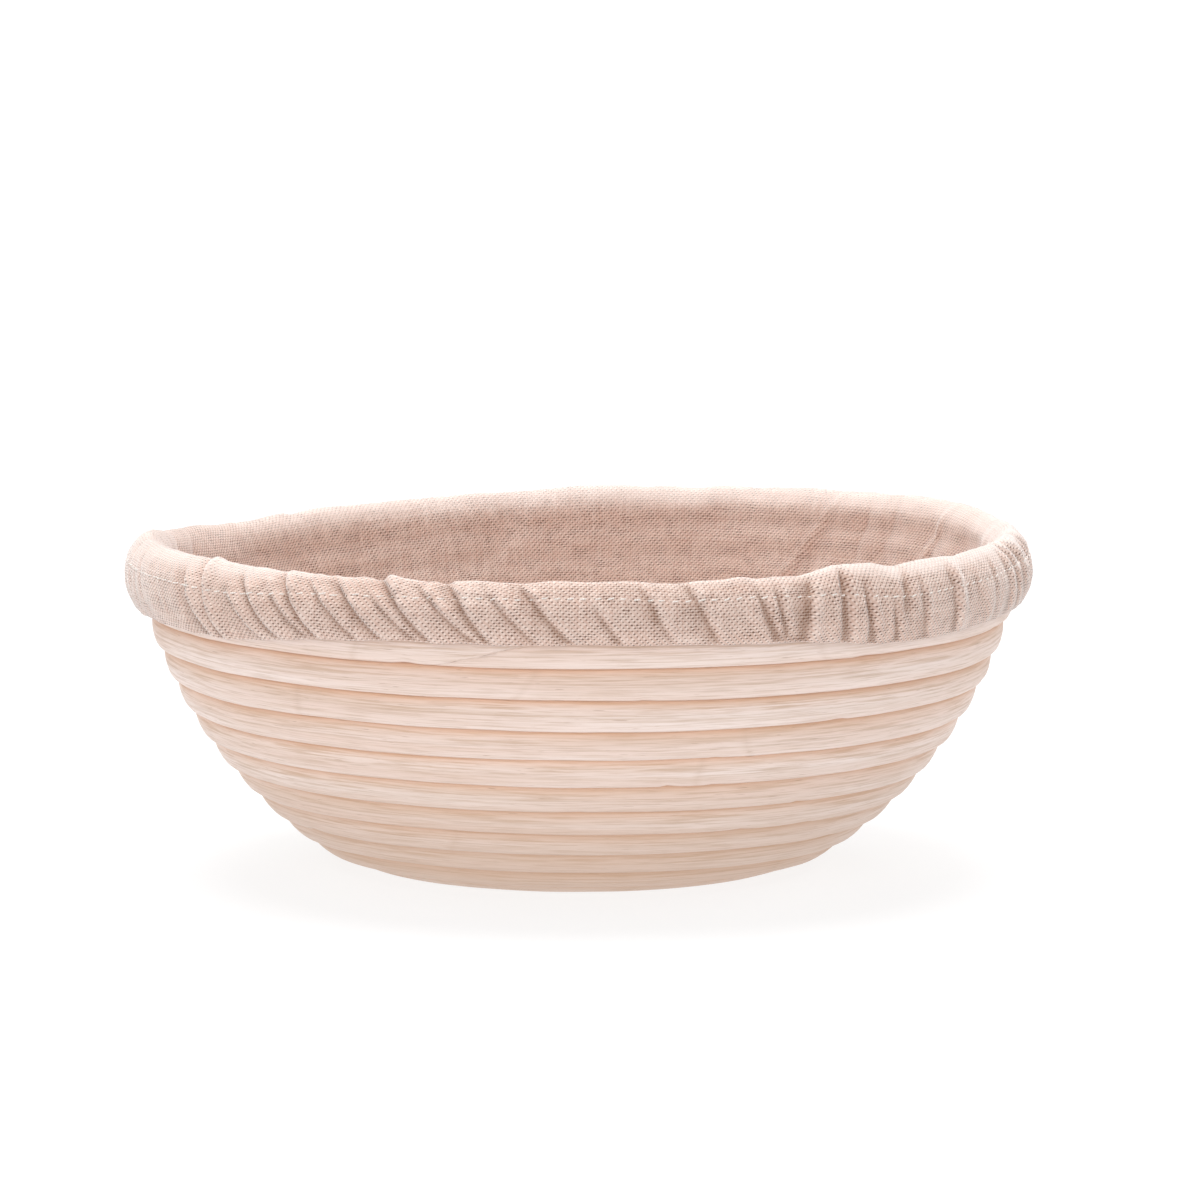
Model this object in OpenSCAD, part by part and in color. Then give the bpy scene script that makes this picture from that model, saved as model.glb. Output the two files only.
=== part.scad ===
// Round proofing basket (banneton): a bowl coiled from spliced lengths of split
// rattan cane, nailed turn to turn, with a cloth liner whose elastic hem is
// pulled down over the rim.
// Millimetres. +Z is up and the origin is on the table, under the basket's centre.

/* [Basket] */
// Radius of the flat middle of the base
base_r = 54; // [46:1:60]
// Radius of the heel, where the base turns up into the wall
heel_r = 36.5; // [32:0.5:42]
// Slope of the wall where the heel ends, in degrees
heel_slope = 36; // [30:1:42]
// Radius of the wall's outward curve
wall_r = 121; // [110:1:135]
// Slope of the wall at the rim, in degrees
rim_slope = 82.5; // [78:0.5:84]

/* [Cane] */
// Turns of cane from the centre to the rim
turns = 18; // [17:1:19]
// Thickness of the cane, through the wall
cane_t = 7.2; // [6.6:0.1:7.4]
// Share of one turn's rise that happens round the front half
front_rise = 0.15; // [0.05:0.05:0.3]
// Gap between neighbouring turns
turn_gap = 0.24; // [0.2:0.02:0.4]
// Length of a scarf joint between two lengths of cane
scarf_len = 34; // [26:1:40]

/* [Brads] */
// Diameter of a steel brad
brad_d = 1.2; // [1:0.1:1.4]
// How much smaller than its brad a brad hole is
brad_grip = 0.04; // [0.02:0.01:0.06]

/* [Liner] */
// Thickness of the cloth
cloth_t = 1; // [0.8:0.1:1.2]
// Gap between the cloth and the cane
cloth_gap = 0.6; // [0.5:0.1:0.8]
// Height of the cloth's crest above the middle of the top turn
crest_rise = 9.2; // [8.6:0.1:10]
// Height of the hem's lower edge above the table
hem_low = 71; // [70:0.5:73]
// Height of the casing that holds the elastic
casing_h = 13; // [12:0.5:14]
// Width of the elastic
elastic_w = 7; // [6:0.5:8]

/* [Hidden] */
$fn = 96;

// Side profile through the middle of the cane: a flat, the heel's arc and the wall's arc.
half_t = cane_t / 2;
heel_mid_r = heel_r - half_t;
wall_mid_r = wall_r - half_t;
heel_end = base_r + heel_mid_r * heel_slope * PI / 180;
rim_edge = heel_end + wall_mid_r * (rim_slope - heel_slope) * PI / 180;

// Slope of the profile in degrees, a distance s along it from the centre
function slope(s) =
    s < base_r ? 0
    : s < heel_end ? (s - base_r) / heel_mid_r * 180 / PI
    : heel_slope + (s - heel_end) / wall_mid_r * 180 / PI;

// Point of the profile [radius, height], set in from the middle of the cane by inset
function profile(s, inset = 0) =
    let (a = slope(s), top = heel_r - heel_r * cos(heel_slope) + wall_r * cos(heel_slope),
         mid = s < base_r ? [s, half_t]
             : s < heel_end ? [base_r + heel_mid_r * sin(a), heel_r - heel_mid_r * cos(a)]
             : [base_r + (heel_r - wall_r) * sin(heel_slope) + wall_mid_r * sin(a),
                top - wall_mid_r * cos(a)])
    mid + inset * [-sin(a), cos(a)];

// The coil: a row of half turns. Station h is where half turn h starts. Even stations
// are on the right (+X) and odd ones on the left. Even half turns run round the front.
eye_r = 5;
pitch = (rim_edge - eye_r) / (turns - 0.5 + front_rise);
half_w = (pitch - turn_gap) / 2;
last_half = 2 * turns - 2;
function station(h) = eye_r + pitch * (floor(h / 2) + front_rise * (h % 2));
function is_front(h) = h % 2 == 0;
function right_end(h) = profile(station(is_front(h) ? h : h + 1));
function left_end(h) = profile(station(is_front(h) ? h + 1 : h));
function arc_r(h) = norm([right_end(h)[0] + left_end(h)[0], right_end(h)[1] - left_end(h)[1]]) / 2;
function arc_tilt(h) = atan2(right_end(h)[1] - left_end(h)[1], right_end(h)[0] + left_end(h)[0]);
function arc_middle(h) = [(right_end(h)[0] - left_end(h)[0]) / 2, 0,
                          (right_end(h)[1] + left_end(h)[1]) / 2];
function arc_slope(h) = slope((station(h) + station(h + 1)) / 2);

// Point on the middle of the cane in half turn h, at bearing a from +X
function cane_point(h, a) =
    let (r = arc_r(h), t = arc_tilt(h), flat = [r * cos(a), r * sin(a)])
    arc_middle(h) + [flat[0] * cos(t), flat[1], flat[0] * sin(t)];

// Cross-section of the cane. Its first number runs up the wall and its second inwards.
// The outer face swells low, so each turn hangs a little over the one below.
cane_section = [
    [half_w, -1], [half_w - 1.4, -2.4], [half_w - 3.8, -half_t + 0.3], [-0.4, -half_t],
    [-2.9, -half_t], [-half_w + 0.5, -half_t + 1], [-half_w, -half_t + 2.4],
    [-half_w + 0.2, half_t - 2], [-half_w + 0.9, half_t - 0.7], [-1.9, half_t],
    [1.9, half_t], [half_w - 0.9, half_t - 0.7], [half_w - 0.2, half_t - 2]];

// The cane is shaved a little finer round the front, so the end of each front half turn
// seats inside the end of the next back one
front_shave = 0.985;
module half_turn(h, past = 0) {
    size = is_front(h) ? front_shave : 1;
    translate(arc_middle(h)) rotate([0, -arc_tilt(h), 0]) rotate([0, 0, is_front(h) ? 180 - past : 0])
        rotate_extrude(angle = 180 + past)
            translate([arc_r(h), 0]) rotate(arc_slope(h)) polygon(size * cane_section);
}

// Splices [half turn, bearing]: where one length of cane ends and the next begins
splices = [[11, 90], [17, 84], [23, 96], [27, 88], [32, 259]];
scarf_slant = atan(2 * half_w / scarf_len);
// Reach of the blocks that cut a cane, past the whole basket
far = 300;

// Everything above a splice's slanted face, or below it
module scarf_side(splice, above) {
    translate(cane_point(splice[0], splice[1])) rotate([scarf_slant, 0, splice[1]])
        translate([0, 0, above ? far / 2 : -far / 2]) cube([2 * far, 2 * far, far], center = true);
}

module spliced_end(splice, above) {
    intersection() {
        half_turn(splice[0]);
        scarf_side(splice, above);
    }
}

// Brads. Each one is driven down through a turn into the turn below. Bearings differ
// between odd and even turns, so that brads never meet.
first_nailed = 3;
function brad_bearings(h) =
    let (odd = floor(h / 2) % 2)
    is_front(h) ? [odd == 1 ? 290 : 250] : (odd == 1 ? [65, 150] : [30, 115]);
// How far a brad reaches above the middle of its turn and below the middle of the next,
// and how far a splice's brad stays inside the cane's edges
brad_head = half_w - 0.4;
brad_foot = 0.3;
brad_inset = 0.5;

module rod(from, to, d) {
    along = to - from;
    translate(from) rotate([0, acos(along[2] / norm(along)), atan2(along[1], along[0])])
        cylinder(d = d, h = norm(along), $fn = 24);
}

module brads(first, last, d) {
    for (h = [first : last], a = brad_bearings(h)) {
        top = cane_point(h, a);
        low = cane_point(h - 2, a);
        up = (top - low) / norm(top - low);
        rod(low - brad_foot * up, top + brad_head * up, d);
    }
}

// Two brads hold each scarf joint, driven down through both lengths
splice_brad_offset = 8;
module splice_pair(splice, d) {
    h = splice[0];
    for (side = [-1, 1]) {
        a = splice[1] + side * splice_brad_offset / arc_r(h) * 180 / PI;
        p = cane_point(h, a);
        s = arc_slope(h);
        up = [cos(s) * cos(a), cos(s) * sin(a), sin(s)];
        rod(p - (half_w - brad_inset) * up, p + (half_w - brad_inset) * up, d);
    }
}

hole_d = brad_d - brad_grip;

// One length of cane: the half turns from first to last, and its ends at two splices
module cane_length(first, last, start_splice, end_splice) {
    difference() {
        union() {
            for (h = [first : last]) half_turn(h);
            if (start_splice >= 0) spliced_end(splices[start_splice], true);
            if (end_splice >= 0) spliced_end(splices[end_splice], false);
            children();
        }
        brads(max(first - 1, first_nailed), min(last + 3, last_half), hole_d);
        if (start_splice >= 0) splice_pair(splices[start_splice], hole_d);
        if (end_splice >= 0) splice_pair(splices[end_splice], hole_d);
    }
}

// The first end of the cane, trimmed round to fill the eye of the coil
eye_slack = 0.15;
eye_step = 0.5;
module eye_plug() {
    eye = arc_r(1) - half_w - turn_gap - eye_slack;
    translate([arc_middle(1)[0], 0, eye_step]) intersection() {
        cylinder(r = eye, h = cane_t - 2 * eye_step);
        translate([-eye, 0, 0]) cube([2 * eye, eye, cane_t]);
    }
}

// The last turn ends on the left. Its end runs on past the front half for a short way,
// trimmed below to clear the turn that climbs under it and tapered above to nothing.
tail_angle = 20;
tail_start = 2;
tail_tip = 1.2;
module last_turn() {
    end = profile(station(last_half + 1));
    low_left = (end + profile(station(last_half - 1))) / 2;
    top_right = profile(station(last_half) + pitch / 2);
    climb = atan2(top_right[1] - low_left[1], top_right[0] + low_left[0]);
    taper = atan2(2 * half_w - tail_tip, arc_r(last_half) * sin(tail_angle) - tail_start);
    difference() {
        half_turn(last_half, tail_angle);
        intersection() {
            translate([-low_left[0], 0, low_left[1] + turn_gap / 2]) rotate([0, -climb, 0])
                translate([-far / 2, -far, -far]) cube([2 * far, 2 * far, far]);
            translate([-far, tail_start, 0]) cube([2 * far, far, far]);
        }
        translate([0, tail_start, end[1] + half_w + turn_gap]) rotate([-taper, 0, 0])
            translate([-far, 0, 0]) cube([2 * far, far, far]);
    }
}

module cane_base() { color("#ead3bb") cane_length(0, 10, -1, 0) eye_plug(); }
module cane_heel() { color("#e6cdb3") cane_length(12, 16, 0, 1); }
module cane_lower() { color("#efdac4") cane_length(18, 22, 1, 2); }
module cane_middle() { color("#ebd3bb") cane_length(24, 26, 2, 3); }
module cane_upper() { color("#f0dcc8") cane_length(28, 31, 3, 4); }
module cane_rim() { color("#ecd6bf") cane_length(33, last_half - 1, 4, -1) last_turn(); }

base_last_half = 12;
module base_brads() { color("silver") brads(first_nailed, base_last_half, brad_d); }
module wall_brads() { color("silver") brads(base_last_half + 1, last_half, brad_d); }
module splice_brads() { color("silver") for (s = splices) splice_pair(s, brad_d); }

// Liner. The cloth lies inside the cane and turns over the rim in an ellipse.
rim_mid = profile(rim_edge - pitch / 2);
lining_in = half_t + cloth_gap;
lining_flat = 0.9 * base_r;
lining_end = rim_edge - pitch / 2;
lining_steps = 21;
over_reach = half_t + 0.9;
over_start = 160;
over_end = 20;
over_step = 14;

// Line of the cloth's face that is off away from the face next to the cane
function lining(off) = concat([profile(0, lining_in + off)],
    [for (i = [0 : lining_steps])
        profile(lining_flat + (lining_end - lining_flat) * i / lining_steps, lining_in + off)]);
function over_rim(off) = [for (a = [over_start : -over_step : over_end])
    rim_mid + [(over_reach + off) * cos(a), (crest_rise - cloth_t + off) * sin(a)]];
function reversed(line) = [for (i = [len(line) - 1 : -1 : 0]) line[i]];

module liner_bowl() {
    color("#ece0d4") rotate_extrude()
        polygon(concat(lining(0), over_rim(0), reversed(over_rim(cloth_t)), reversed(lining(cloth_t))));
}

// The hem hangs from the crest, outside the rim: a short skirt, then a casing turned
// up inside and stitched along its top. The casing tucks in under the rim.
seam_gap = 0.2;
skirt_top = rim_mid[1] + (crest_rise - cloth_t) * sin(over_end) - seam_gap;
skirt_in_r = rim_mid[0] + over_reach * cos(over_end) + seam_gap / 2;
stitch_z = hem_low + casing_h;
hem_tuck = 2.76;
hem_bulge = 2.1;
hem_closing = 2;
function hem_in_r(z) = skirt_in_r - hem_tuck * pow(max(0, stitch_z - z) / casing_h, 2);
function hem_out_r(z) =
    hem_in_r(z) + cloth_t + hem_bulge * sin(180 * (stitch_z - z) / (casing_h + hem_closing));
function hem_line(z0, z1, n, out) = [for (i = [0 : n])
    let (z = z0 + (z1 - z0) * i / n) [out ? hem_out_r(z) : hem_in_r(z), z]];

// The elastic lies in the casing, off its inner skin and leaning out at the top
elastic_low = hem_low + 2.6;
elastic_t = 0.8;
elastic_lean = 0.3;
skin_t = 0.5;
pocket_gap = 0.15;
module elastic_outline(grow) {
    low_r = hem_in_r(elastic_low) + skin_t + pocket_gap;
    top_r = hem_in_r(elastic_low + elastic_w) + skin_t + pocket_gap + elastic_lean;
    polygon([[low_r - grow, elastic_low - grow], [low_r + elastic_t + grow, elastic_low - grow],
             [top_r + elastic_t + grow, elastic_low + elastic_w + grow],
             [top_r - grow, elastic_low + elastic_w + grow]]);
}

module liner_hem() {
    color("#e6d8cb") rotate_extrude() difference() {
        polygon(concat([[skirt_in_r, skirt_top], [skirt_in_r + cloth_t, skirt_top]],
                       hem_line(stitch_z, hem_low, 6, true), hem_line(hem_low, stitch_z, 5, false)));
        elastic_outline(pocket_gap);
    }
}

module hem_elastic() { color("white") rotate_extrude() elastic_outline(0); }

thread_d = 0.5;
thread_gap = 0.02;
module hem_stitching() {
    color("ivory") rotate_extrude() translate([hem_out_r(stitch_z) + thread_d / 2 + thread_gap, stitch_z])
        circle(d = thread_d, $fn = 24);
}

cane_base();
cane_heel();
cane_lower();
cane_middle();
cane_upper();
cane_rim();
base_brads();
wall_brads();
splice_brads();
liner_bowl();
liner_hem();
hem_elastic();
hem_stitching();
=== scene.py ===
import math

import bpy
import numpy as np
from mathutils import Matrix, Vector


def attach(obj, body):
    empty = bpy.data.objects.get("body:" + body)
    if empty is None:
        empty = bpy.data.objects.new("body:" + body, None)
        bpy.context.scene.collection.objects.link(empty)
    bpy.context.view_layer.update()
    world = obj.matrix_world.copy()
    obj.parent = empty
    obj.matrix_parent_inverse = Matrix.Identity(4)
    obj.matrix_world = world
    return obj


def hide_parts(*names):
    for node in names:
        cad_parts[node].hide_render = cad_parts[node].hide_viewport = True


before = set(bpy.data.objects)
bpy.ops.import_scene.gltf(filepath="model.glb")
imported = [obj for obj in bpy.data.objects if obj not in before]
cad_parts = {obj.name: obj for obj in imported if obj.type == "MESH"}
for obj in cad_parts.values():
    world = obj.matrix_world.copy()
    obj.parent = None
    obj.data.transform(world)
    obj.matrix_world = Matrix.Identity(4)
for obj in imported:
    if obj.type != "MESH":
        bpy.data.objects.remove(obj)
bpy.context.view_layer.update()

MM = 0.001

# ---------------------------------------------------------------- the basket's own sizes, mm
# The same profile as the CAD: a flat base, the heel's arc and the wall's arc.
BASE_R, HEEL_R, HEEL_SLOPE, WALL_R, RIM_SLOPE = 54.0, 36.5, 36.0, 121.0, 82.5
# The coil: its turns, the share of a turn's width that it climbs in front, the slit between
# turns, the eye's radius, half the cane's thickness and the length of a scarf joint
TURNS, FRONT_RISE, GAP, EYE_R, HALF_T, SCARF = 18, 0.15, 0.04, 5.0, 3.6, 34.0
HEEL_MID = HEEL_R - HALF_T
WALL_MID = WALL_R - HALF_T
HEEL_END = BASE_R + HEEL_MID * math.radians(HEEL_SLOPE)
RIM_EDGE = HEEL_END + WALL_MID * math.radians(RIM_SLOPE - HEEL_SLOPE)
PITCH = (RIM_EDGE - EYE_R) / (TURNS - 0.5 + FRONT_RISE)
HALF_W = (PITCH - GAP) / 2
LAST = 2 * TURNS - 2  # the half turn in which the coil starts to end
# the coil's end in half turns: how far past LAST its taper starts, how long it is, its tip
TAPER_FROM, TAPER_LONG, COIL_END = 0.96, 0.151, LAST + 1 + 20 / 180
EYE_EDGE = 0.35  # how near the axis the cane's inner end comes
CLOTH_T = 0.7
LINING = HALF_T + 0.6 + 0.5  # from the cane's middle to the cloth's
CREST_RISE = 9.2
RIM_R = 124.0


def slope(s):
    """Slope of the profile in degrees, a distance s along it from the centre."""
    s = np.asarray(s, float)
    heel = np.degrees((s - BASE_R) / HEEL_MID)
    wall = HEEL_SLOPE + np.degrees((s - HEEL_END) / WALL_MID)
    return np.where(s < BASE_R, 0.0, np.where(s < HEEL_END, heel, wall))


def profile(s, inset=0.0):
    """Radius and height a distance s along the side profile, set in from the cane's middle."""
    s = np.asarray(s, float)
    a, h = np.radians(slope(s)), math.radians(HEEL_SLOPE)
    top = HEEL_R - HEEL_R * math.cos(h) + WALL_R * math.cos(h)
    r = np.where(s < BASE_R, s, np.where(s < HEEL_END, BASE_R + HEEL_MID * np.sin(a),
                 BASE_R + (HEEL_R - WALL_R) * math.sin(h) + WALL_MID * np.sin(a)))
    z = np.where(s < BASE_R, HALF_T, np.where(s < HEEL_END, HEEL_R - HEEL_MID * np.cos(a),
                 top - WALL_MID * np.cos(a)))
    return r - inset * np.sin(a), z + inset * np.cos(a)


# ---------------------------------------------------------------- repeatable noise on arrays
def lattice(i, j, k, seed):
    """A number from -1 to 1 for each whole-numbered point, always the same one."""
    h = (i * 374761393 + j * 668265263 + k * 1442695041 + seed * 1274126177) & 0xFFFFFFFF
    h = ((h ^ (h >> 13)) * 1103515245) & 0xFFFFFFFF
    h = ((h ^ (h >> 15)) * 2246822519) & 0xFFFFFFFF
    return ((h ^ (h >> 16)) & 0xFFFF) / 32767.5 - 1.0


def noise(x, y=0.0, z=0.0, seed=0):
    """Smooth noise from -1 to 1."""
    x, y, z = np.broadcast_arrays(np.asarray(x, float), np.asarray(y, float), np.asarray(z, float))
    cell = [np.floor(v).astype(np.int64) for v in (x, y, z)]
    f = [v - c for v, c in zip((x, y, z), cell)]
    f = [v * v * v * (v * (v * 6 - 15) + 10) for v in f]
    out = 0.0
    for a in (0, 1):
        for b in (0, 1):
            for c in (0, 1):
                weight = ((f[0] if a else 1 - f[0]) * (f[1] if b else 1 - f[1])
                          * (f[2] if c else 1 - f[2]))
                out = out + weight * lattice(cell[0] + a, cell[1] + b, cell[2] + c, seed)
    return out


def around(theta, along, size, stretch=1.0, seed=0):
    """Noise that closes on itself round the rim. size is its grain in mm, stretch its height."""
    return noise(RIM_R * np.cos(theta) / size, RIM_R * np.sin(theta) / size,
                 along / (size * stretch), seed)


def smooth(a, b, x):
    """0 up to a, 1 from b, and a soft step between them."""
    t = np.clip((np.asarray(x, float) - a) / (b - a), 0, 1)
    return t * t * (3 - 2 * t)


# ---------------------------------------------------------------- meshes from arrays
def swept(r, angle, z):
    """Points at radius r and height z, at an angle round the axis."""
    return np.stack([r * np.cos(angle), r * np.sin(angle), z], -1)


def unit(v):
    return v / np.linalg.norm(v, axis=1)[:, None]


SHARP = 55  # degrees between two faces that makes their edge sharp


def add_mesh(name, points, faces, uv_name, uv, material, body):
    """points in mm, faces as rows of 4 or 3 point numbers, uv in metres for each face corner."""
    mesh = bpy.data.meshes.new(name)
    counts = [f.shape[1] for f in faces for _ in range(len(f))]
    loops = np.concatenate([f.ravel() for f in faces])
    mesh.vertices.add(len(points))
    mesh.vertices.foreach_set("co", (np.asarray(points) * MM).ravel())
    mesh.loops.add(len(loops))
    mesh.loops.foreach_set("vertex_index", loops)
    mesh.polygons.add(len(counts))
    mesh.polygons.foreach_set("loop_start", np.concatenate([[0], np.cumsum(counts)[:-1]]))
    mesh.polygons.foreach_set("use_smooth", np.ones(len(counts), bool))
    mesh.update(calc_edges=True)
    layer = mesh.uv_layers.new(name=uv_name)
    layer.data.foreach_set("uv", np.concatenate([u.reshape(-1, 2) for u in uv]).ravel())
    mesh.validate()
    mesh.set_sharp_from_angle(angle=math.radians(SHARP))
    obj = bpy.data.objects.new(name, mesh)
    bpy.context.collection.objects.link(obj)
    obj.data.materials.append(material)
    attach(obj, body)
    return obj


def grid_faces(rows, cols, closed):
    """Quads of a grid of points, and the grid index of each corner for its uv."""
    i, j = np.meshgrid(np.arange(rows - 1), np.arange(cols if closed else cols - 1), indexing="ij")
    i, j = i.ravel(), j.ravel()
    k = (j + 1) % cols
    faces = np.stack([i * cols + j, i * cols + k, (i + 1) * cols + k, (i + 1) * cols + j], 1)
    wide = cols + 1 if closed else cols
    first = i * wide + j
    return faces, np.stack([first, first + 1, first + wide + 1, first + wide], 1)


# ---------------------------------------------------------------- node material helpers
class Nodes:
    """A short way to write a node tree."""

    def __init__(self, name):
        self.material = bpy.data.materials.new(name)
        self.material.use_nodes = True
        self.tree = self.material.node_tree
        self.tree.nodes.clear()
        self.out = self.tree.nodes.new("ShaderNodeOutputMaterial")
        self.shader = self.tree.nodes.new("ShaderNodeBsdfPrincipled")
        self.tree.links.new(self.shader.outputs[0], self.out.inputs[0])

    def put(self, socket, value):
        if isinstance(value, bpy.types.NodeSocket):
            self.tree.links.new(value, socket)
        elif isinstance(value, (tuple, list)) and len(value) == 3 and socket.type == "RGBA":
            socket.default_value = (*value, 1)
        else:
            socket.default_value = value

    def set(self, **values):
        """Feed the shader's inputs. A plain number or colour is set on the input itself."""
        for key, value in values.items():
            self.put(self.shader.inputs[key.replace("_", " ")], value)

    def node(self, kind, **values):
        """A new node, fed by the names of its inputs."""
        n = self.tree.nodes.new("ShaderNode" + kind)
        for key, value in values.items():
            self.put(n.inputs[key], value)
        return n

    def math(self, kind, a, b=None):
        n = self.tree.nodes.new("ShaderNodeMath")
        n.operation = kind
        for socket, value in zip(n.inputs, (a, b)):
            if value is not None:
                self.put(socket, value)
        return n.outputs[0]

    def add(self, a, b):
        return self.math("ADD", a, b)

    def less(self, a, b):
        return self.math("SUBTRACT", a, b)

    def times(self, a, b):
        return self.math("MULTIPLY", a, b)

    def sine(self, a):
        return self.math("SINE", a)

    def uv(self, name):
        n = self.tree.nodes.new("ShaderNodeUVMap")
        n.uv_map = name
        return n.outputs[0]

    def place(self):
        return self.tree.nodes.new("ShaderNodeTexCoord").outputs["Object"]

    def scaled(self, vector, scale, shift=(0, 0, 0)):
        return self.node("Mapping", Vector=vector, Scale=scale, Location=shift).outputs[0]

    def split(self, vector):
        return self.node("SeparateXYZ", Vector=vector).outputs

    def join(self, x, y, z=0.0):
        return self.node("CombineXYZ", X=x, Y=y, Z=z).outputs[0]

    def noise(self, vector, scale=1.0, detail=2.0, rough=0.5):
        n = self.node("TexNoise", Vector=vector, Scale=scale, Detail=detail, Roughness=rough)
        return n.outputs["Fac"]

    def ramp(self, value, stops):
        """Greys along the value, as pairs of place and grey."""
        n = self.tree.nodes.new("ShaderNodeValToRGB")
        self.put(n.inputs[0], value)
        band = n.color_ramp
        while len(band.elements) < len(stops):
            band.elements.new(0.5)
        for e, (at, grey) in zip(band.elements, stops):
            e.position = at
            e.color = (grey, grey, grey, 1)
        return n.outputs[0]

    def mix(self, share, a, b):
        n = self.tree.nodes.new("ShaderNodeMix")
        n.data_type, n.clamp_factor = "RGBA", True
        self.put(n.inputs[0], share)
        self.put(n.inputs[6], a)
        self.put(n.inputs[7], b)
        return n.outputs[2]

    def between(self, value, low, high, to_low=0.0, to_high=1.0):
        """The value carried from low..high to to_low..to_high, and held at those ends."""
        n = self.tree.nodes.new("ShaderNodeMapRange")
        n.clamp = True
        for socket, v in zip(n.inputs, (value, low, high, to_low, to_high)):
            self.put(socket, v)
        return n.outputs[0]

    def bump(self, height, distance, strength):
        return self.node("Bump", Height=height, Distance=distance, Strength=strength).outputs[0]


# ---------------------------------------------------------------- materials
def rattan_material():
    """Split cane: pale peach with long fibres, tanner and with painted shade where each turn runs
    into the groove, and painted shade on the lowest turns.
    """
    m = Nodes("rattan")
    uv = m.uv("cane")
    along, across, _ = m.split(uv)
    tone = m.noise(m.scaled(uv, (7, 130, 1)))
    fibre = m.noise(m.scaled(uv, (70, 2900, 1)))
    streak = m.noise(m.scaled(uv, (38, 1450, 1), (3, 0, 0)), 1.0, 3.0, 0.6)
    broad = m.noise(m.scaled(uv, (9, 420, 1), (0, 5, 0)))
    pale = m.mix(m.between(tone, 0.35, 0.65), (0.800, 0.630, 0.555), (0.860, 0.735, 0.685))
    # the upper half of each turn shows its fibres more; the ramps run over the outer 10 mm
    upper = m.ramp(m.times(across, 100.0), [(0.0, 1.0), (0.30, 1.0), (0.72, 0.40), (0.95, 0.40)])
    broad_share = m.times(upper, m.between(broad, 0.42, 0.66, 0.0, 0.40))
    pale = m.mix(broad_share, pale, (0.650, 0.500, 0.400))
    streak_share = m.times(upper, m.between(streak, 0.48, 0.62, 0.0, 0.78))
    pale = m.mix(streak_share, pale, (0.570, 0.405, 0.300))
    pale = m.mix(m.between(fibre, 0.52, 0.66, 0.0, 0.45), pale, (0.520, 0.375, 0.280))
    # the band under the turn above: partly the cane's tanner colour, partly painted shade from the
    # turn above
    drift = m.noise(m.scaled(uv, (30, 0, 0)))
    wander = m.add(across, m.times(m.less(drift, 0.5), 0.0012))
    tan = m.ramp(m.times(wander, 100.0),
                 [(0.0, 1.0), (0.09, 0.95), (0.17, 0.58), (0.28, 0.26), (0.48, 0.0)])
    body = m.mix(m.times(tan, 0.72), pale, (0.740, 0.455, 0.295))
    # small dark pores that run with the fibres, and a few knots across them
    pore = m.noise(m.scaled(uv, (170, 3000, 1), (0, 7, 0)), 1.0, 1.0)
    body = m.mix(m.between(pore, 0.70, 0.78, 0.0, 0.55), body, (0.330, 0.190, 0.110))
    knot_drift = m.times(m.noise(m.scaled(uv, (1.3, 30, 1)), 1.0, 1.0), 0.05)
    knot_at = m.math("FRACT", m.times(m.add(along, knot_drift), 3.1))
    knot = m.between(m.math("ABSOLUTE", m.less(knot_at, 0.5)), 0.0, 0.006, 1.0, 0.0)
    body = m.mix(m.times(knot, 0.12), body, (0.420, 0.260, 0.160))
    # painted shade: the lowest turns are browner and darker towards the floor
    low = m.between(m.split(m.place())[2], 0.0, 0.042, 0.58, 0.0)
    body = m.mix(low, body, (0.520, 0.345, 0.230))
    relief = m.add(m.times(fibre, 0.5), m.times(streak, 0.8))
    relief = m.less(relief, m.times(knot, 0.5))
    m.set(Base_Color=body, Roughness=m.between(streak, 0.3, 0.7, 0.44, 0.62),
          Normal=m.bump(relief, 0.00035, 0.5), Specular_IOR_Level=0.35)
    return m.material


YARN_PITCH = 0.00076  # metres


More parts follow.
